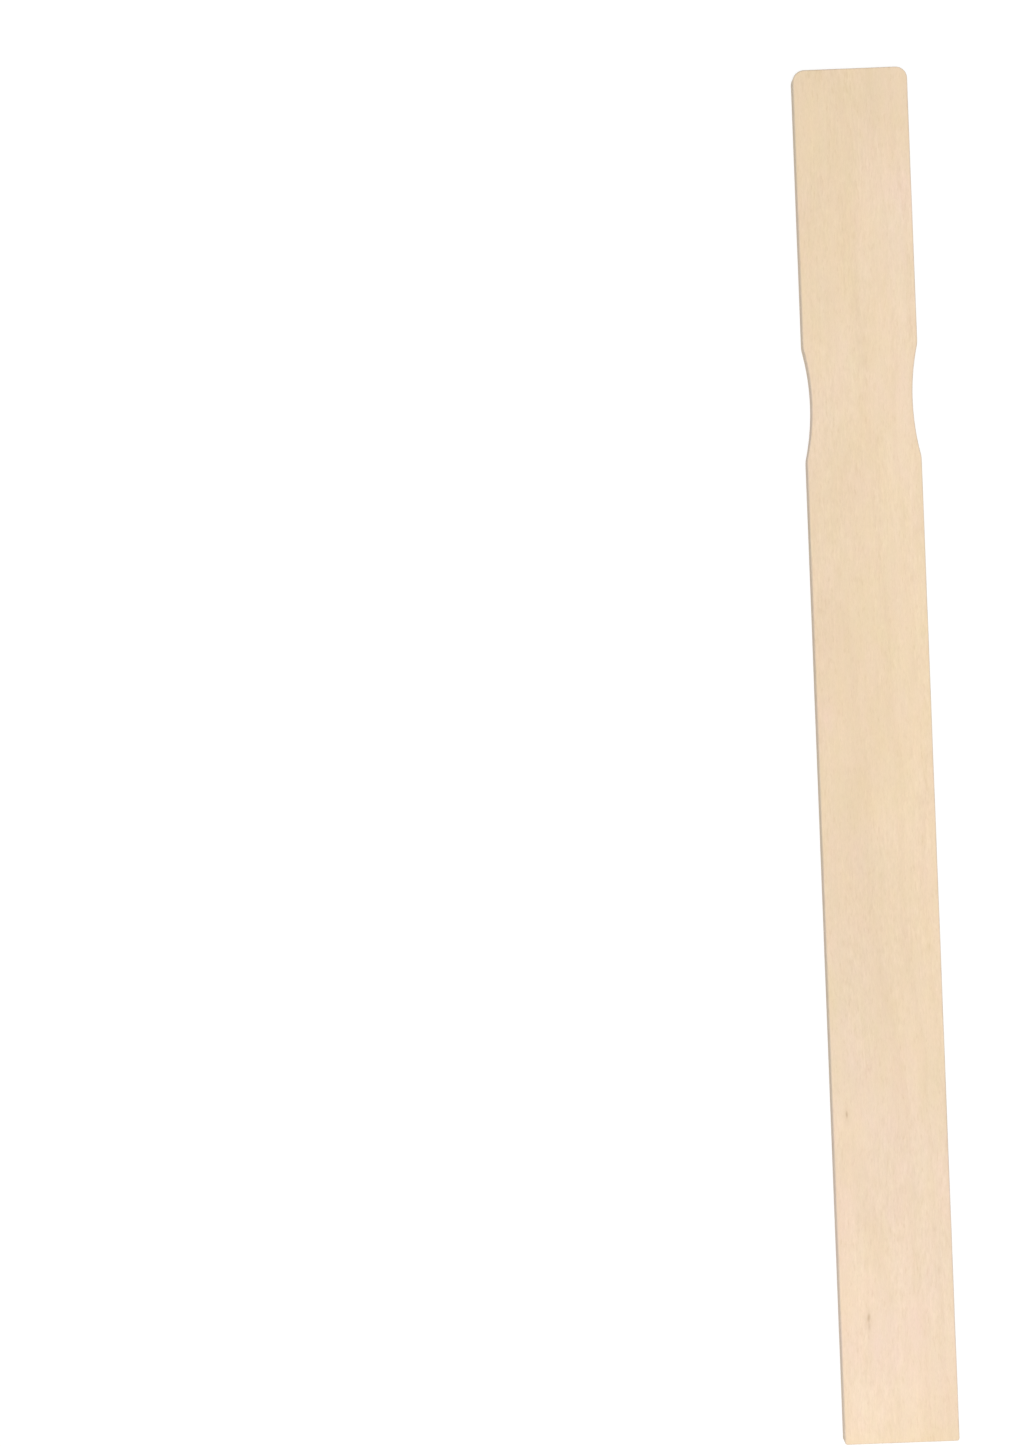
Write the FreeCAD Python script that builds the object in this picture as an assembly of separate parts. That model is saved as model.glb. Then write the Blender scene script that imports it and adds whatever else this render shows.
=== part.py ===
"""Paint stirring stick: one flat piece of pale wood with a waist between its handle and its blade.

Frame, in millimetres: the stick lies on its broad lower face at Z 0, its length runs along Y with the
handle end towards +Y, its width runs along X, and the origin is the centre of the lower face.

It is built the way the real stick is cut: a flat blank, two shallow scoops taken out of its long
edges by a round cutter, rounded corners, and a light easing of every sharp edge.
"""

import os

import FreeCAD
import Part
from FreeCAD import Vector

# Overall size of the blank: twelve inches by one inch, and a nominal eighth of an inch
stick_length = 304.8
stick_width = 25.4
stick_thickness = 3.0

# Corners of the outline, seen from above
handle_corner_radius = 2.6
blade_corner_radius = 0.6

# The waist, which gives the fingers a hold: where its middle is, how long it is, how deep on each side,
# and the radius that softens the four shoulders where it starts and ends
waist_from_handle_end = 74.0
waist_length = 25.0
waist_depth = 1.5
waist_shoulder_radius = 6.0

# How far the sharp edges are sanded off, all round both broad faces
edge_ease_radius = 0.3

# How far a cutter runs past each broad face, and how near a point has to be to count as on an edge
cutter_overrun = 2.0
on_edge = 0.001

# Places that follow from the sizes above
handle_end_y = stick_length / 2
blade_end_y = -stick_length / 2
side_x = stick_width / 2
waist_y = handle_end_y - waist_from_handle_end
waist_radius = (waist_length**2 / 4 + waist_depth**2) / (2 * waist_depth)


def blank():
    """The flat blank, lying on Z 0 with the origin under its middle."""
    corner = Vector(-side_x, blade_end_y, 0)
    return Part.makeBox(stick_width, stick_length, stick_thickness, corner)


def waist_cutter(side):
    """The round cutter that scoops the waist out of one long edge: side is 1 for +X and -1 for -X."""
    axis_x = side * (side_x - waist_depth + waist_radius)
    foot = Vector(axis_x, waist_y, -cutter_overrun)
    height = stick_thickness + 2 * cutter_overrun
    return Part.makeCylinder(waist_radius, height, foot, Vector(0, 0, 1))


def upright_edges(shape, x, ys):
    """The upright edges of the outline that stand at x on either side and at one of ys."""
    found = []
    for edge in shape.Edges:
        box = edge.BoundBox
        upright = box.ZLength > stick_thickness - on_edge
        at_side = abs(abs(box.Center.x) - x) < on_edge
        at_height = any(abs(box.Center.y - y) < on_edge for y in ys)
        if upright and at_side and at_height:
            found.append(edge)
    return found


def rounded_outline(shape):
    """Rounds the corners of the handle, of the blade and of the four shoulders of the waist."""
    half_waist = waist_length / 2
    shoulders = (waist_y - half_waist, waist_y + half_waist)
    shape = shape.makeFillet(waist_shoulder_radius, upright_edges(shape, side_x, shoulders))
    shape = shape.makeFillet(handle_corner_radius, upright_edges(shape, side_x, (handle_end_y,)))
    return shape.makeFillet(blade_corner_radius, upright_edges(shape, side_x, (blade_end_y,)))


def rim_edges(shape):
    """The edges that run round the two broad faces."""
    found = []
    for edge in shape.Edges:
        box = edge.BoundBox
        level = box.ZLength < on_edge
        on_lower_face = abs(box.ZMin) < on_edge
        on_upper_face = abs(box.ZMax - stick_thickness) < on_edge
        if level and (on_lower_face or on_upper_face):
            found.append(edge)
    return found


def stirring_stick():
    """The whole stick, which is a single solid."""
    stick = blank()
    for side in (-1, 1):
        stick = stick.cut(waist_cutter(side))
    stick = rounded_outline(stick)
    return stick.makeFillet(edge_ease_radius, rim_edges(stick))


def main():
    os.makedirs("parts", exist_ok=True)
    stick = stirring_stick()
    box = stick.optimalBoundingBox(False)
    print("size", round(box.XLength, 3), round(box.YLength, 3), round(box.ZLength, 3))
    print("solids", len(stick.Solids), "faces", len(stick.Faces), "valid", stick.isValid())
    print("volume", round(stick.Volume, 1), "waist radius", round(waist_radius, 2))
    stick.exportStep("parts/stirring_stick.step")


main()
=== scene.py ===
# %% [markdown]
# # A paint stirring stick
#
# The real thing is one strip of pale, close-grained wood. A saw gives it its length and width, a round
# cutter takes a shallow scoop out of each long edge so that fingers find the waist, the corners are
# rounded, and a tumble with abrasive takes the sharpness off every edge. Nothing is painted or varnished.
#
# So there is one piece to make and one finish to get right. The piece is a closed surface worked out
# with numpy, and the finish is bare wood, solid all the way through, so that the grain on the broad
# face runs on over the edge and ends in end grain at both tips.

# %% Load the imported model
import math

import bmesh
import bpy
import numpy as np
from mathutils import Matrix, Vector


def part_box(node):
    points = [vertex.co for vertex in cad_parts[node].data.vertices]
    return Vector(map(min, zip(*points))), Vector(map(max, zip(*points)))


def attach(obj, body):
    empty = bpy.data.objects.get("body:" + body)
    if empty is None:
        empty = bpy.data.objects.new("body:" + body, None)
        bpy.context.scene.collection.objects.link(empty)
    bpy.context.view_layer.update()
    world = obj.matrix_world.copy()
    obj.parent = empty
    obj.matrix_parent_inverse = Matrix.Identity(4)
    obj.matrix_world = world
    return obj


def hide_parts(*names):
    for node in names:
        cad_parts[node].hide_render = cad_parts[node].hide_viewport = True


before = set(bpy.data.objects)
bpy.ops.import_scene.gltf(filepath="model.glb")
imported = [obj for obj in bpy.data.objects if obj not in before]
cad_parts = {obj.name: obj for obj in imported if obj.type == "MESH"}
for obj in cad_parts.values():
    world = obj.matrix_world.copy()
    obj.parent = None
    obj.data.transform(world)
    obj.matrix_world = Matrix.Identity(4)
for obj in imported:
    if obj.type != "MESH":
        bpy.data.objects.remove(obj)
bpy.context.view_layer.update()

# %% [markdown]
# ## The sizes
#
# The overall size is read from the solid model, so the dressed stick can't drift away from it. The
# corners and the waist are repeated here in millimetres, as a maker would write them on a drawing.

# %% Sizes of the stick
mm = 0.001
low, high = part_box("stirring_stick")
length = high.y - low.y
width = high.x - low.x
thickness = high.z - low.z

handle_corner = 2.6 * mm
blade_corner = 0.6 * mm
waist_from_handle_end = 74.0 * mm
waist_length = 25.0 * mm
waist_depth = 1.5 * mm
shoulder = 6.0 * mm
easing = 0.3 * mm

waist_y = high.y - waist_from_handle_end
scoop = (waist_length**2 / 4 + waist_depth**2) / (2 * waist_depth)
print("stick, mm:", round(length / mm, 1), round(width / mm, 1), round(thickness / mm, 1))
print("the cutter's radius, mm:", round(scoop / mm, 1))

# %% [markdown]
# ## The outline
#
# Seen from above, one long side of the stick is a chain of straight runs and arcs: the blade's corner,
# a straight run, a small shoulder, the scoop, the other shoulder, a straight run and the handle's
# corner. It could be traced point by point, or drawn as a Bezier curve, but a chain that only says how
# far each piece goes and how much it turns is exact, short, and easy to change.


# %% A path of straight runs and arcs
def follow(pieces, start, heading, step):
    """Places and headings along straight runs and arcs that follow one another.

    A piece is its length, its turn (left is positive) and the fewest steps that it is cut into. After a
    share q of a piece the heading has turned by q times its turn. On a straight run the place has moved by
    q times the length along the heading. On an arc, whose radius is length over turn, it has moved by the
    radius times the change in the heading's sine, and by minus the radius times the change in its cosine.
    """
    x, y = start
    places, headings = [np.array([[x, y]])], [np.array([heading])]
    for run, turn, fewest in pieces:
        steps = max(fewest, math.ceil(run / step))
        q = np.arange(1, steps + 1) / steps
        now = heading + turn * q
        if turn:
            radius = run / turn
            across = radius * (np.sin(now) - np.sin(heading))
            along = radius * (np.cos(heading) - np.cos(now))
        else:
            across = run * q * np.cos(heading)
            along = run * q * np.sin(heading)
        places.append(np.stack([x + across, y + along], axis=1))
        headings.append(now)
        x, y = places[-1][-1]
        heading = now[-1]
    return np.concatenate(places), np.concatenate(headings)


def arc(radius, turn, fewest):
    """An arc as a piece of the path: its length is the radius times the size of the turn."""
    return radius * abs(turn), turn, fewest


# %% One long side of the stick
step = 0.46 * mm
quarter = math.pi / 2
# The shoulder's arc touches the straight side and the cutter's circle. Between the two centres the
# height across the stick is both radii less the waist's depth, which gives the angle that each arc turns.
shoulder_turn = math.acos(1 - waist_depth / (scoop + shoulder))
half_span = (scoop + shoulder) * math.sin(shoulder_turn)
blade_run = waist_y - half_span - (low.y + blade_corner)
handle_run = (high.y - handle_corner) - (waist_y + half_span)

side, heading = follow(
    [
        arc(blade_corner, quarter, 7),
        (blade_run, 0.0, 1),
        arc(shoulder, shoulder_turn, 5),
        arc(scoop, -2 * shoulder_turn, 40),
        arc(shoulder, shoulder_turn, 5),
        (handle_run, 0.0, 1),
        arc(handle_corner, quarter, 14),
    ],
    start=(width / 2 - blade_corner, low.y),
    heading=0.0,
    step=step,
)
outward = np.stack([np.sin(heading), -np.cos(heading)], axis=1)
print("stations along one side:", len(side))
print("the path ends at, mm:", (side[-1] / mm).round(3), "with the handle's tip at", round(high.y / mm, 1))

# %% [markdown]
# ## What sanding leaves
#
# A tumbled edge is never even: the easing is a little wider here and narrower there, and a planed face
# keeps the faintest hollows. Blender's Displace modifier could do that, but a smooth random function
# written in numpy can be used for the edge, the faces and the ends alike, and it gives the same stick
# on every run.


# %% Smooth random hills
def hills(a, b, pitch_a, pitch_b, seed):
    """Smooth random numbers from -1 to 1 over two coordinates, with hills about a pitch apart.

    One seeded random number stands at each crossing of a grid. A point blends the four crossings round
    it, and the blend is eased (three squares less two cubes), so that no crease shows at a grid line.
    """
    u = a / pitch_a
    v = b / pitch_b
    column = np.floor(u).astype(int)
    row = np.floor(v).astype(int)
    ease_u = (u - column) ** 2 * (3 - 2 * (u - column))
    ease_v = (v - row) ** 2 * (3 - 2 * (v - row))
    column = column - column.min()
    row = row - row.min()
    heights = np.random.default_rng(seed).uniform(-1, 1, (column.max() + 2, row.max() + 2))
    near = heights[column, row] * (1 - ease_u) + heights[column + 1, row] * ease_u
    far = heights[column, row + 1] * (1 - ease_u) + heights[column + 1, row + 1] * ease_u
    return near * (1 - ease_v) + far * ease_v


# %% [markdown]
# ## The rim
#
# Going over the edge from the upper face to the lower one, the surface turns through a quarter of a
# circle, runs down the sawn wall and turns through another quarter. That profile is swept along the
# side just found. It is the same idea as Blender's bevelled curve, with the easing's radius free to
# vary along the way.


# %% The profile over the edge
quarter_steps = 5
wall_steps = 4
uneven_easing = 0.22
easing_pitch = 7.0 * mm
wall_hollow = 0.018 * mm
wall_pitch = (1.7 * mm, 1.1 * mm)


def rim(places, outward, seed):
    """The rim as a grid: one row per station of the outline, one column per step over the edge.

    The inset from the outline is the easing times one less the sine of the angle gone round, and the drop
    from the face is the easing times one less its cosine. The wall joins the two quarters, with shallow
    hollows that fade out towards both. The place is the outline's own, less the inset along its outward
    direction.
    """
    along = np.arange(len(places)) * step
    angle = np.linspace(0, quarter, quarter_steps + 1)
    rounds = []
    for k, at in enumerate((thickness, 0.0)):
        uneven = uneven_easing * hills(along, along * 0, easing_pitch, 1.0, seed + k)
        radius = easing * (1 + uneven)[:, None]
        drop = radius * (1 - np.cos(angle))
        rounds.append((radius * (1 - np.sin(angle)), at - drop if at else drop))
    upper, lower = rounds
    down = np.linspace(0, 1, wall_steps + 1)[1:-1]
    top_of_wall = upper[1][:, -1:]
    foot_of_wall = lower[1][:, -1:]
    wall_z = top_of_wall + (foot_of_wall - top_of_wall) * down
    bulge = 1 + hills(along[:, None] + wall_z * 0, wall_z, *wall_pitch, seed + 2)
    wall_inset = wall_hollow / 2 * bulge * np.sin(math.pi * down)
    inset = np.concatenate([upper[0], wall_inset, lower[0][:, ::-1]], axis=1)
    z = np.concatenate([upper[1], wall_z, lower[1][:, ::-1]], axis=1)
    x = places[:, :1] - inset * outward[:, :1]
    y = places[:, 1:] - inset * outward[:, 1:]
    return np.stack([x, y, z], axis=2)


mirror = np.array([-1.0, 1.0])
right_rim = rim(side, outward, seed=11)
left_rim = rim(side * mirror, outward * mirror, seed=21)
print("points over the edge:", right_rim.shape[1])

# %% [markdown]
# ## The broad faces and the ends
#
# Each broad face is stretched between the two rims, with its columns closer together near the edges,
# where the light changes fastest. Each end is one more small grid between the last points of both rims.
# All six grids meet point for point.

# %% Stretch the faces and the ends
columns = 54
crowding = 0.55
hollow = 0.012 * mm
fade_in = 1.2 * mm
long_pitch = (4.1 * mm, 13.0 * mm)
short_pitch = (1.7 * mm, 4.3 * mm)
end_pitch = (0.8 * mm, 0.9 * mm)

spread = np.linspace(-1, 1, columns + 1)
share = ((1 - crowding) * spread + crowding * np.sin(quarter * spread) + 1) / 2


def broad_face(left_edge, right_edge, sink, seed):
    """A broad face as a grid from one edge to the other, with shallow hollows in it.

    A point is the share of the way from the left edge to the right one. Long low hills and short ones,
    taken from one so that they only ever go down, sink it by up to the hollow's depth, and that fades to
    nothing towards the rims and the ends.
    """
    face = left_edge[:, None] + (right_edge - left_edge)[:, None] * share[:, None]
    x, y = face[..., 0], face[..., 1]
    waves = 0.6 * hills(x, y, *long_pitch, seed) + 0.4 * hills(x, y, *short_pitch, seed + 1)
    from_edge = np.minimum(x - x[:, :1], x[:, -1:] - x)
    from_end = np.minimum(y - y[:1], y[-1:] - y)
    fade = np.clip(np.minimum(from_edge, from_end) / fade_in, 0, 1)
    face[..., 2] += sink * hollow * (1 - waves) / 2 * fade * fade * (3 - 2 * fade)
    return face


def end_face(left_column, right_column, upper_row, lower_row, saw, seed):
    """An end as a grid: along the end from left to right, and over the edge from top to bottom.

    A point is the share of the way from the left rim's last column to the right one's, and the saw's
    hollows sink the wall between the two easings. The first and last rows are the broad faces' own.
    """
    across = share[:, None]
    end = left_column[None] * (1 - across[..., None]) + right_column[None] * across[..., None]
    depth = (1 + hills(end[..., 0], end[..., 2], *end_pitch, seed)) / 2
    inside = np.sin(math.pi * np.linspace(0, 1, end.shape[1])) ** 2
    end[..., 1] -= saw * wall_hollow * depth * inside * np.sin(math.pi * across)
    end[:, 0] = upper_row
    end[:, -1] = lower_row
    return end


upper_face = broad_face(left_rim[:, 0], right_rim[:, 0], sink=-1, seed=31)
lower_face = broad_face(left_rim[:, -1], right_rim[:, -1], sink=1, seed=41)
handle_end = end_face(left_rim[-1], right_rim[-1], upper_face[-1], lower_face[-1], saw=1, seed=51)
blade_end = end_face(left_rim[0], right_rim[0], upper_face[0], lower_face[0], saw=-1, seed=61)
print("points on a broad face:", upper_face.shape[:2], "and on an end:", handle_end.shape[:2])
print("deepest hollow, mm:", round((thickness - upper_face[..., 2].min()) / mm, 4))


# %% [markdown]
# ## Where a point lies
#
# The finish has to know which part of the surface it is on, because sawn end grain is darker than a
# sanded face. The surface was worked out from an angle over the edge and an outward direction, so each
# point can carry that knowledge as two attributes, and the material only reads them.

# %% Marks for the finish
angle_share = np.linspace(0, 1, quarter_steps + 1)
wall_share = np.concatenate([angle_share, np.ones(wall_steps - 1), angle_share[::-1]])
# The corners turn from side grain to end grain: none up to the first number, all after both together.
endwise_from = 0.35
endwise_over = 0.5
endwise = np.clip((np.abs(outward[:, 1:]) - endwise_from) / endwise_over, 0, 1)


def marks_of(grid, wall, endwise):
    """Three numbers per point: how far it is down the wall, how far it faces endwise, how worn it is and
    how much painted highlight its eased edge gets.
    """
    ones = np.ones(grid.shape[:2])
    down = np.sin(quarter * wall) * ones
    return np.stack([down, down * endwise, np.sin(math.pi * wall) * ones], axis=2)


parts = [
    (upper_face, marks_of(upper_face, np.zeros(1), 0.0), False),
    (lower_face, marks_of(lower_face, np.zeros(1), 0.0), True),
    (right_rim, marks_of(right_rim, wall_share, endwise), False),
    (left_rim, marks_of(left_rim, wall_share, endwise), True),
    (handle_end, marks_of(handle_end, wall_share, 1.0), True),
    (blade_end, marks_of(blade_end, wall_share, 1.0), False),
]
print("grids to be sewn:", len(parts))

# %% [markdown]
# ## Sewing
#
# The real stick is one piece of wood, so it should be one closed mesh, not six sheets that only touch.
# A Boolean union could join them, but their borders already lie point on point, so it is enough to put
# them in a row and merge the doubles. Two numbers prove it: no edge is left open, and the volume is
# positive, which it only is when all the faces point outwards.


# %% Sew the grids into one closed mesh
weld = 0.001 * mm


def quads(rows, columns, first, turned):
    """The faces of a grid, as four point numbers each, turned round where the grid is mirrored."""
    corner = first + np.arange(rows - 1)[:, None] * columns + np.arange(columns - 1)
    ring = [corner, corner + columns, corner + columns + 1, corner + 1]
    ring = ring if turned else ring[::-1]
    return np.stack(ring, axis=2).reshape(-1, 4)


def sewn(name, parts):
    """One object from grids whose borders coincide: their points in a row, their faces, doubles merged."""
    points = np.concatenate([grid.reshape(-1, 3) for grid, marks, turned in parts])
    marks = np.concatenate([marks.reshape(-1, 3) for grid, marks, turned in parts])
    faces, first = [], 0
    for grid, _, turned in parts:
        faces.append(quads(*grid.shape[:2], first, turned))
        first += grid.shape[0] * grid.shape[1]
    mesh = bpy.data.meshes.new(name)
    mesh.from_pydata(points, [], np.concatenate(faces).tolist())
    for k, mark in enumerate(("wall", "end_grain", "wear_and_highlight")):
        attribute = mesh.attributes.new(mark, "FLOAT", "POINT")
        attribute.data.foreach_set("value", marks[:, k].astype(np.float32))
    work = bmesh.new()
    work.from_mesh(mesh)
    bmesh.ops.remove_doubles(work, verts=work.verts, dist=weld)
    open_edges = sum(not edge.is_manifold for edge in work.edges)
    volume = work.calc_volume(signed=True)
    work.to_mesh(mesh)
    work.free()
    mesh.shade_smooth()
    piece = bpy.data.objects.new(name, mesh)
    bpy.context.scene.collection.objects.link(piece)
    triangles = 2 * len(mesh.polygons)
    print(name, "triangles:", triangles, "open edges:", open_edges, "volume, mm3:", round(volume / mm**3))
    return piece


stick = sewn("stick", parts)

# %% [markdown]
# ## The wood
#
# Pale birch has almost no figure. What the eye reads as wood are very fine fibres that run along the
# stick, short darker dashes where a vessel was cut open, and areas that lean towards cream or towards
# peach. An image texture would smear at the edges, so the wood is a solid pattern in object
# coordinates: stretched noise whose scale is given per millimetre, across and along the grain.
#
# First come a few helpers that add a node and join it up, so that the recipe itself stays readable.

# %% Helpers for node trees
wood = bpy.data.materials.new("bare pale wood")
wood.use_nodes = True
tree = wood.node_tree
tree.nodes.clear()


def node(kind, inputs=None, **settings):
    """Adds a node, makes its settings, and fills its inputs with numbers or other nodes' outputs."""
    new = tree.nodes.new(kind)
    for name, value in settings.items():
        setattr(new, name, value)
    for socket, value in (inputs or {}).items():
        if isinstance(value, bpy.types.NodeSocket):
            tree.links.new(value, new.inputs[socket])
        else:
            new.inputs[socket].default_value = value
    return new


def reckon(operation, *values):
    """One step of arithmetic on numbers or sockets."""
    return node("ShaderNodeMath", dict(enumerate(values)), operation=operation).outputs[0]


def reckon_vector(operation, *values):
    """One step of arithmetic on vectors or colours."""
    return node("ShaderNodeVectorMath", dict(enumerate(values)), operation=operation).outputs[0]


def mark(name):
    """A number that each point of the mesh carries."""
    return node("ShaderNodeAttribute", attribute_name=name).outputs["Fac"]


# Each seed reads the same endless noise at another place, this far on for every step of the seed
seed_step = (17.3, 31.7, 7.9)


def grain_noise(place, across, along, seed, detail=2.0, roughness=0.5):
    """Noise about 0, stretched along the stick: across and along are its waves per millimetre."""
    shift = tuple(seed * part for part in seed_step)
    stretched = node(
        "ShaderNodeMapping",
        {"Vector": place, "Location": shift, "Scale": (across, along, across)},
    ).outputs[0]
    noise = node(
        "ShaderNodeTexNoise",
        {"Vector": stretched, "Scale": 1.0, "Detail": detail, "Roughness": roughness},
    ).outputs["Fac"]
    return reckon("SUBTRACT", noise, 0.5)


def above(value, start, full):
    """0 below start, 1 above full, eased between them."""
    return node(
        "ShaderNodeMapRange",
        {"Value": value, "From Min": start, "From Max": full, "To Min": 0.0, "To Max": 1.0},
        interpolation_type="SMOOTHSTEP",
    ).outputs["Result"]


def tinted(colour, amount, tint):
    """The colour made lighter or darker: each channel is multiplied by 1 + amount * tint."""
    factor = reckon_vector("MULTIPLY_ADD", amount, tint, (1.0, 1.0, 1.0))
    return reckon_vector("MULTIPLY", colour, factor)


def soft_spot(place, centre, reach, slant=0.0):
    """1 at the centre of a spot, easing to 0 at its reach along each axis, in millimetres."""
    inside = node(
        "ShaderNodeMapping",
        {"Vector": place, "Location": centre, "Rotation": (0.0, 0.0, slant), "Scale": reach},
        vector_type="TEXTURE",
    ).outputs[0]
    ball = node("ShaderNodeTexGradient", {"Vector": inside}, gradient_type="SPHERICAL").outputs["Fac"]
    return above(ball, 0.0, 1.0)


# %% [markdown]
# ### Where the grain runs
#
# No tree is straight. Before any pattern is read, the place is pushed sideways by a long slow noise, so
# the fibres lean a little this way and that, all together.

# %% The grain's own coordinates
object_place = node("ShaderNodeTexCoord").outputs["Object"]
place = node("ShaderNodeMapping", {"Vector": object_place, "Scale": (1000.0, 1000.0, 1000.0)}).outputs[0]
lean = grain_noise(place, across=0.05, along=0.012, seed=1, detail=1.0)
lean_reach = (3.0, 0.0, 1.2)
grain = reckon_vector("MULTIPLY_ADD", lean, lean_reach, place)

# %% [markdown]
# ### The ground colour
#
# Two creams, one yellower and one pinker, are blended by a broad noise and by a few soft areas that sit
# where the photographed stick turns warmer. A few more areas are then made a little paler, darker or
# pinker: each has its centre, its reach and a tint, which says what it adds to red, green and blue.
# These carry painted light and shade as well as tone: the paler ones, most of all towards the blade's
# end, and the darker one at the handle's end make the face brighter towards the blade, as if the light
# fell stronger there.

# %% Cream and peach
cream = (0.845, 0.665, 0.455)
peach = (0.865, 0.680, 0.500)
top = thickness / mm

warm_areas = [
    ((8.0, 116.0, top), (12.0, 26.0, 8.0), 0.8),
    ((8.0, 80.0, top), (14.0, 36.0, 8.0), 0.7),
    ((-12.0, 76.0, top), (9.0, 24.0, 8.0), 0.4),
    ((-8.0, -42.0, top), (13.0, 42.0, 8.0), 0.5),
    ((-3.0, -113.0, top), (42.0, 64.0, 12.0), 1.5),
]
# Painted light and shade among these: paler towards the blade's end, darker at the handle's end.
painted_light_and_tone_areas = [
    ((11.0, 15.0, top), (17.0, 130.0, 8.0), (0.047, 0.047, 0.047)),
    ((5.0, 92.0, top), (17.0, 85.0, 8.0), (0.022, 0.022, 0.026)),
    ((-7.0, -150.0, top), (38.0, 78.0, 12.0), (0.075, 0.075, 0.075)),
    ((-10.0, 152.0, top), (24.0, 34.0, 8.0), (-0.022, -0.022, -0.022)),
    ((-5.0, -45.0, top), (15.0, 38.0, 8.0), (-0.035, -0.035, -0.035)),
    ((0.0, -104.0, top), (10.0, 30.0, 8.0), (-0.026, -0.026, -0.026)),
    ((0.0, -134.0, top), (22.0, 26.0, 8.0), (-0.004, -0.014, 0.022)),
    ((0.0, -153.0, top), (40.0, 6.0, 8.0), (0.000, 0.006, -0.040)),
]

tone_swing = 1.2
plain_tone = 0.18
tone = reckon("MULTIPLY_ADD", grain_noise(grain, 0.11, 0.014, seed=2), tone_swing, plain_tone)
for centre, reach, strength in warm_areas:
    tone = reckon("MULTIPLY_ADD", soft_spot(place, centre, reach), strength, tone)
tone = node("ShaderNodeClamp", {"Value": tone}).outputs[0]
ground = node(
    "ShaderNodeMix",
    {"Factor": tone, 6: (*cream, 1.0), 7: (*peach, 1.0)},
    data_type="RGBA",
).outputs[2]
# These tints paint light and shade onto the face as well as tone.
for centre, reach, tint in painted_light_and_tone_areas:
    ground = tinted(ground, soft_spot(place, centre, reach), tint)

# %% [markdown]
# ### Fibres, vessels and growth rings
#
# Each layer is one noise at its own scale, from streaks as long as a finger to fibres as fine as a hair.
# The fibres come in patches, plain to see here and faint there. Darker wood is also a little redder, so
# a tint takes more from blue than from red. Two slow noises, blush and butter, move the hue alone,
# because real wood drifts between pink and yellow without getting darker.

# %% The figure
streak = grain_noise(grain, 1.1, 0.035, seed=3)
fibre = grain_noise(grain, 2.0, 0.42, seed=4, detail=3.0)
fine = grain_noise(grain, 4.2, 1.2, seed=5, detail=2.0)
hair = grain_noise(grain, 14.0, 1.4, seed=15, detail=1.0)
patch = above(grain_noise(grain, 0.22, 0.035, seed=13, detail=2.0), -0.12, 0.12)
mottle = grain_noise(grain, 0.12, 0.05, seed=6, detail=4.0, roughness=0.62)
blush = grain_noise(grain, 0.16, 0.07, seed=10, detail=4.0, roughness=0.68)
butter = grain_noise(grain, 0.18, 0.06, seed=12, detail=4.0, roughness=0.68)
dash = above(grain_noise(grain, 2.2, 0.45, seed=7, detail=1.0), 0.10, 0.22)
gleam = above(grain_noise(grain, 2.0, 0.35, seed=8, detail=1.0), 0.10, 0.24)

faint_fibre = 0.5
plain_fibre = 1.4
fibre_strength = reckon("MULTIPLY_ADD", patch, plain_fibre - faint_fibre, faint_fibre)
fibre = reckon("MULTIPLY", fibre, fibre_strength)

colour = ground
colour = tinted(colour, mottle, (0.110, 0.115, 0.120))
colour = tinted(colour, blush, (0.060, -0.055, 0.090))
colour = tinted(colour, butter, (0.010, 0.010, 0.200))
colour = tinted(colour, streak, (0.050, 0.058, 0.072))
colour = tinted(colour, fibre, (0.125, 0.145, 0.185))
colour = tinted(colour, fine, (0.090, 0.100, 0.130))
colour = tinted(colour, hair, (0.060, 0.070, 0.090))
colour = tinted(colour, dash, (-0.036, -0.048, -0.068))
colour = tinted(colour, gleam, (0.018, 0.021, 0.027))
print("nodes so far:", len(tree.nodes))

# %% [markdown]
# ### Growth rings
#
# A tree adds a ring a year round its pith. This strip was cut far from the pith and almost along the
# rings, so each one crosses the broad face at a glancing angle: it shows there as a few long wandering
# lines, and on both ends as shallow arcs. A wave texture could fake either view, but rings that are
# reckoned from the distance to the pith fit both, and meet at the edge between them.

# %% Rings round a far pith
pith_x = -9.0
pith_z = -55.0
ring_width = 1.3
taper = 0.010
wobble_reach = 0.9
parted = node("ShaderNodeSeparateXYZ", {0: grain}).outputs
from_pith_x = reckon("SUBTRACT", parted["X"], pith_x)
from_pith_z = reckon("MULTIPLY_ADD", parted["Y"], taper, reckon("SUBTRACT", parted["Z"], pith_z))
square_x = reckon("MULTIPLY", from_pith_x, from_pith_x)
square_z = reckon("MULTIPLY", from_pith_z, from_pith_z)
from_pith = reckon("SQRT", reckon("ADD", square_x, square_z))
wobble = grain_noise(grain, 0.09, 0.05, seed=14, detail=2.0)
wandering = reckon("MULTIPLY_ADD", wobble, wobble_reach, from_pith)
ring = reckon("FRACT", reckon("DIVIDE", wandering, ring_width))
late_wood = reckon("MULTIPLY", above(ring, 0.45, 0.92), reckon("SUBTRACT", 1.0, above(ring, 0.93, 1.0)))
colour = tinted(colour, late_wood, (-0.018, -0.023, -0.030))

# %% [markdown]
# ### Flecks
#
# Birch has small brown flecks, where an insect once fed under the bark. Two of them mark the blade: a
# dark core with a faint halo, and the lower one trails off along the grain. They follow the grain's own
# coordinates, so they lean as the fibres do.

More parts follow.
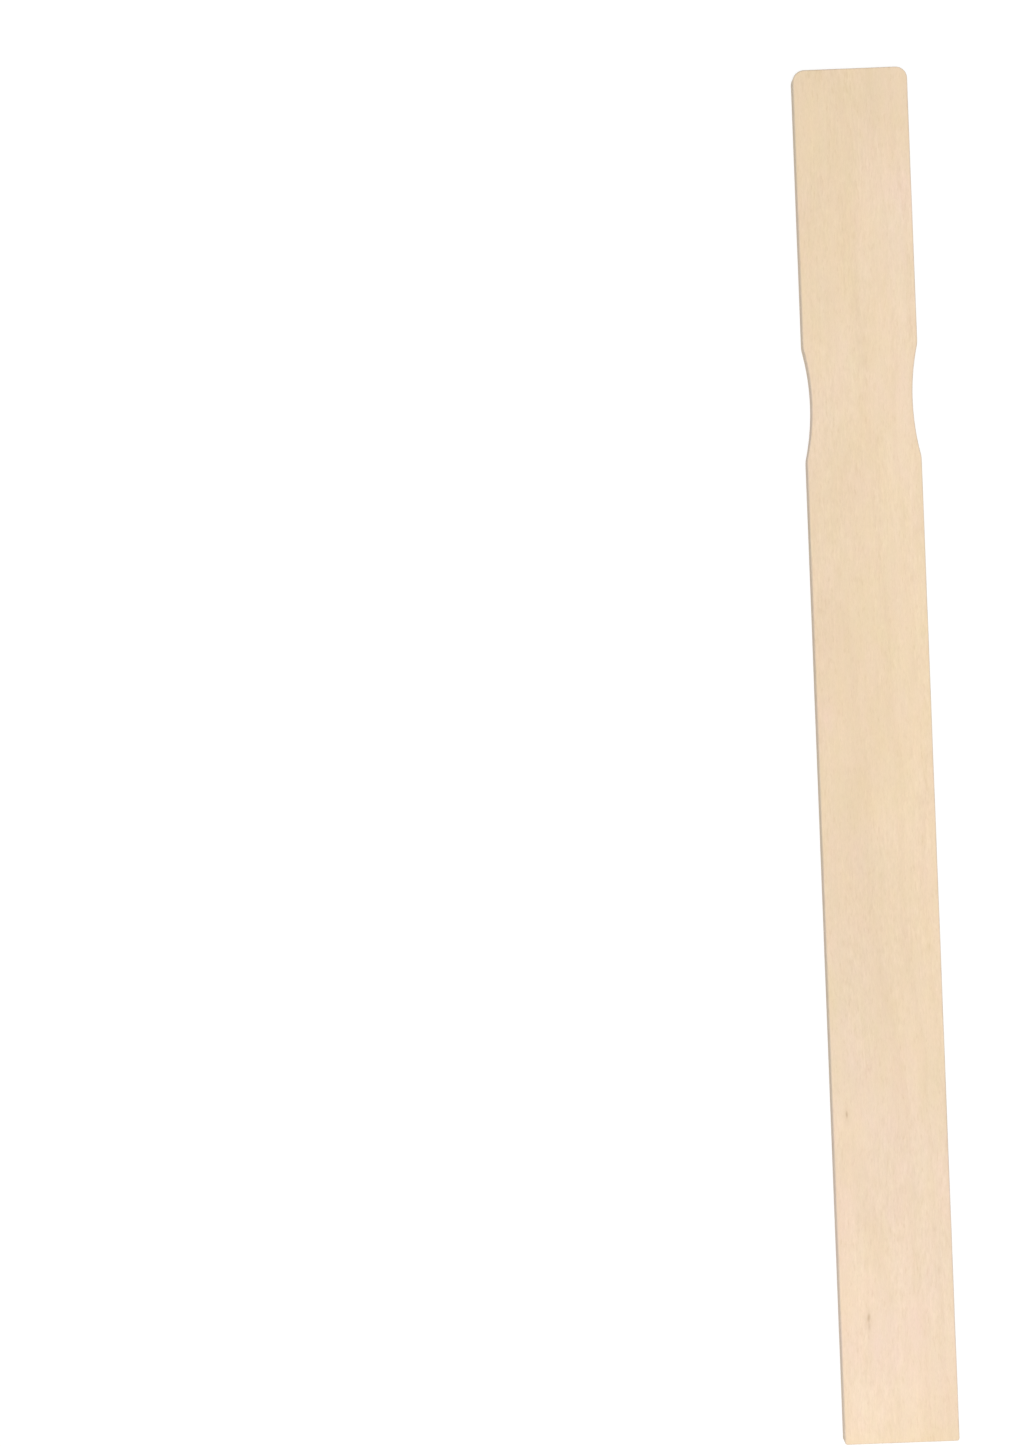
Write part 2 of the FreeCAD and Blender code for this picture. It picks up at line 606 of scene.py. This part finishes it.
# %% Brown flecks
fleck_brown = (0.52, 0.36, 0.21)
halo_reach = 3.0
halo_strength = 0.25
flecks = [
    ((-9.8, -79.2, top), (0.40, 1.20, 0.6), 0.05, 0.58),
    ((-6.6, -124.4, top), (0.50, 1.40, 0.6), -0.03, 0.52),
    ((-6.5, -126.3, top), (0.40, 1.40, 0.6), 0.02, 0.22),
]
for centre, reach, slant, strength in flecks:
    core = soft_spot(grain, centre, reach, slant)
    halo = soft_spot(grain, centre, tuple(halo_reach * r for r in reach), slant)
    stain = reckon("MULTIPLY", reckon("MULTIPLY_ADD", halo, halo_strength, core), strength)
    colour = node(
        "ShaderNodeMix",
        {"Factor": stain, 6: colour, 7: (*fleck_brown, 1.0)},
        data_type="RGBA",
    ).outputs[2]

# %% [markdown]
# ### Walls and end grain
#
# The sawn wall is darker and greyer than the sanded face, partly as sawn wood is and partly as painted
# shade, for a wall that turns away from the light. The ends show the fibres cut across: darker again,
# with the pores as dots and the rings plain to see. Where the edge was tumbled, the wood is rubbed a
# little paler, and that pale bluish rim is also a painted highlight, as if the eased edge caught the
# light. The marks that the points carry say where each of these is.

# %% The sawn sides and ends
wall = mark("wall")
end_grain = mark("end_grain")
wear_and_highlight = mark("wear_and_highlight")
pores = above(grain_noise(place, 10.0, 0.4, seed=9, detail=0.0), 0.10, 0.22)

# The wall's darker, greyer tint is partly the sawn wood and partly painted shade.
colour = tinted(colour, wall, (-0.22, -0.19, -0.13))
colour = tinted(colour, end_grain, (-0.06, -0.09, -0.12))
colour = tinted(colour, reckon("MULTIPLY", late_wood, end_grain), (-0.07, -0.09, -0.11))
colour = tinted(colour, reckon("MULTIPLY", pores, end_grain), (-0.16, -0.20, -0.24))
# A paler bluish rim on the eased edges: tumbled wear and a painted highlight.
colour = tinted(colour, wear_and_highlight, (0.020, 0.035, 0.070))

# %% [markdown]
# ### Relief and sheen
#
# Soft fibres wear away between hard ones, and an opened vessel is a groove. The same noises drive the
# bump, so that what looks dark also lies low. Bare sanded wood is matt, and a little less so on the
# hard fibres.

# %% Relief and sheen
fibre_height = 0.03 * mm
height = reckon("MULTIPLY_ADD", fine, 0.6, fibre)
height = reckon("MULTIPLY_ADD", hair, 0.3, height)
height = reckon("MULTIPLY_ADD", dash, -0.35, height)
height = reckon("MULTIPLY_ADD", reckon("MULTIPLY", pores, end_grain), -0.6, height)
bump = node("ShaderNodeBump", {"Strength": 0.7, "Distance": fibre_height, "Height": height}).outputs[0]
plain_roughness = 0.62
fibre_polish = -0.25
roughness = reckon("MULTIPLY_ADD", fibre, fibre_polish, plain_roughness)

shader = node(
    "ShaderNodeBsdfPrincipled",
    {"Base Color": colour, "Roughness": roughness, "Normal": bump, "Specular IOR Level": 0.3},
)
node("ShaderNodeOutputMaterial", {"Surface": shader.outputs[0]})
stick.data.materials.append(wood)
print("nodes in the wood:", len(tree.nodes))

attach(stick, "root")
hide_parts("stirring_stick")

# %% [markdown]
# ## The floor
#
# The stick lies on plain white. A floor that is lit to full white would need more light than the wood
# can take, so the camera sees a floor that glows by itself and answers the light only in part: open
# floor comes out white, and the shadow stays as a soft grey. Every other ray meets ordinary white
# paper, which throws light back on the sawn wall.

# %% A white floor that keeps its shadow
floor_size = 12.0
paper = 0.88
paper_seen = 0.30
glow_seen = 0.76
under = 0.02 * mm

floor_mesh = bpy.data.meshes.new("floor")
half = floor_size / 2
corners = np.array([[-half, -half], [half, -half], [half, half], [-half, half]])
floor_mesh.from_pydata(np.c_[corners, np.full(4, -under)], [], [[0, 1, 2, 3]])
floor = bpy.data.objects.new("floor", floor_mesh)
bpy.context.scene.collection.objects.link(floor)

white = bpy.data.materials.new("white paper")
white.use_nodes = True
tree = white.node_tree
tree.nodes.clear()


def seen_by_eye():
    """1 for rays from the camera, off a shiny surface or through a clear one, and else 0."""
    ray = node("ShaderNodeLightPath").outputs
    shiny = reckon("MAXIMUM", ray["Is Glossy Ray"], ray["Is Transmission Ray"])
    return reckon("MAXIMUM", ray["Is Camera Ray"], shiny)


seen = seen_by_eye()
answer = reckon("MULTIPLY_ADD", seen, paper_seen - paper, paper)
matt = node("ShaderNodeBsdfDiffuse", {"Color": answer})
glow = node("ShaderNodeEmission", {"Strength": reckon("MULTIPLY", seen, glow_seen)})
both = node("ShaderNodeAddShader", {0: matt.outputs[0], 1: glow.outputs[0]})
node("ShaderNodeOutputMaterial", {"Surface": both.outputs[0]})
floor_mesh.materials.append(white)
print("the floor is", floor_size, "m wide and lies", round(under / mm, 3), "mm under the stick")

# %% [markdown]
# ## The light
#
# The wood should look as it was mixed, so the light on a level face adds up to about one: most of it
# comes from an even white sky and one large soft lamp, and the sheen of the wood brings the rest. The
# camera sees a little of the left wall. The lamp stands high, and only a little to the left, so it
# skims that wall: the tumbled edge above it stays bright, while the wall falls into a soft shade and
# draws the thin line that the photograph shows.

# %% Sky and lamp
sky_share = 0.51
lamp_share = 0.40
lamp_place = np.array([-0.3, -0.9, 3.0])
lamp_width = 1.6

world = bpy.data.worlds.new("white sky")
bpy.context.scene.world = world
world.use_nodes = True
tree = world.node_tree
tree.nodes.clear()
sky = node(
    "ShaderNodeBackground",
    {
        "Color": (1.0, 1.0, 1.0, 1.0),
        "Strength": reckon("MULTIPLY_ADD", seen_by_eye(), 1 - sky_share, sky_share),
    },
)
node("ShaderNodeOutputWorld", {"Surface": sky.outputs[0]})

far = np.linalg.norm(lamp_place)
lamp_data = bpy.data.lights.new("soft lamp", "AREA")
lamp_data.shape = "SQUARE"
lamp_data.size = lamp_width
# A level face gets as much as if the lamp's power were spread over a whole sphere of that radius, less
# the cosine of its slant, so the power follows from the share that is wanted.
lamp_data.energy = lamp_share * 4 * math.pi * far**2 / (lamp_place[2] / far)
lamp = bpy.data.objects.new("soft lamp", lamp_data)
lamp.location = lamp_place
lamp.rotation_euler = (
    math.atan2(math.hypot(*lamp_place[:2]), lamp_place[2]),
    0.0,
    math.atan2(lamp_place[0], -lamp_place[1]),
)
lamp.visible_camera = False
bpy.context.scene.collection.objects.link(lamp)
print("lamp power, W:", round(lamp_data.energy, 1))

# %% [markdown]
# ## The camera
#
# The photograph looks straight down. The stick lies to the right of the middle and leans by about two
# degrees, so the camera is not over the stick but over the middle of the picture, turned by that lean.
# Where it stands follows from where the ends of the stick are in the picture, in its own pixels.

# %% Straight down, as in the photograph
picture_width = 1025
picture_height = 1447
handle_tip = np.array([849.5, 68.0])
blade_tip = np.array([902.6, 1443.2])
lens_pixels = 1885.0
sensor = 24.0

run = blade_tip - handle_tip
per_metre = np.linalg.norm(run) / length
lean_angle = math.atan2(run[0], run[1])
from_stick = np.array([picture_width, picture_height]) / 2 - (handle_tip + blade_tip) / 2
aside = from_stick[0] / per_metre
ahead = -from_stick[1] / per_metre
camera_data = bpy.data.cameras.new("camera")
camera_data.sensor_fit = "VERTICAL"
camera_data.sensor_height = sensor
camera_data.lens = lens_pixels / picture_height * sensor
camera_data.clip_start = 0.01
camera = bpy.data.objects.new("camera", camera_data)
camera.location = (
    aside * math.cos(lean_angle) + ahead * math.sin(lean_angle),
    ahead * math.cos(lean_angle) - aside * math.sin(lean_angle),
    thickness + lens_pixels / per_metre,
)
camera.rotation_euler = (0.0, 0.0, -lean_angle)
bpy.context.scene.collection.objects.link(camera)
bpy.context.scene.camera = camera
print("camera at, mm:", [round(v / mm, 1) for v in camera.location])
print("lean, degrees:", round(math.degrees(lean_angle), 2))

# %% [markdown]
# ## Finish
#
# Standard view shows each colour as it was mixed.

# %% View
bpy.context.scene.view_settings.view_transform = "Standard"
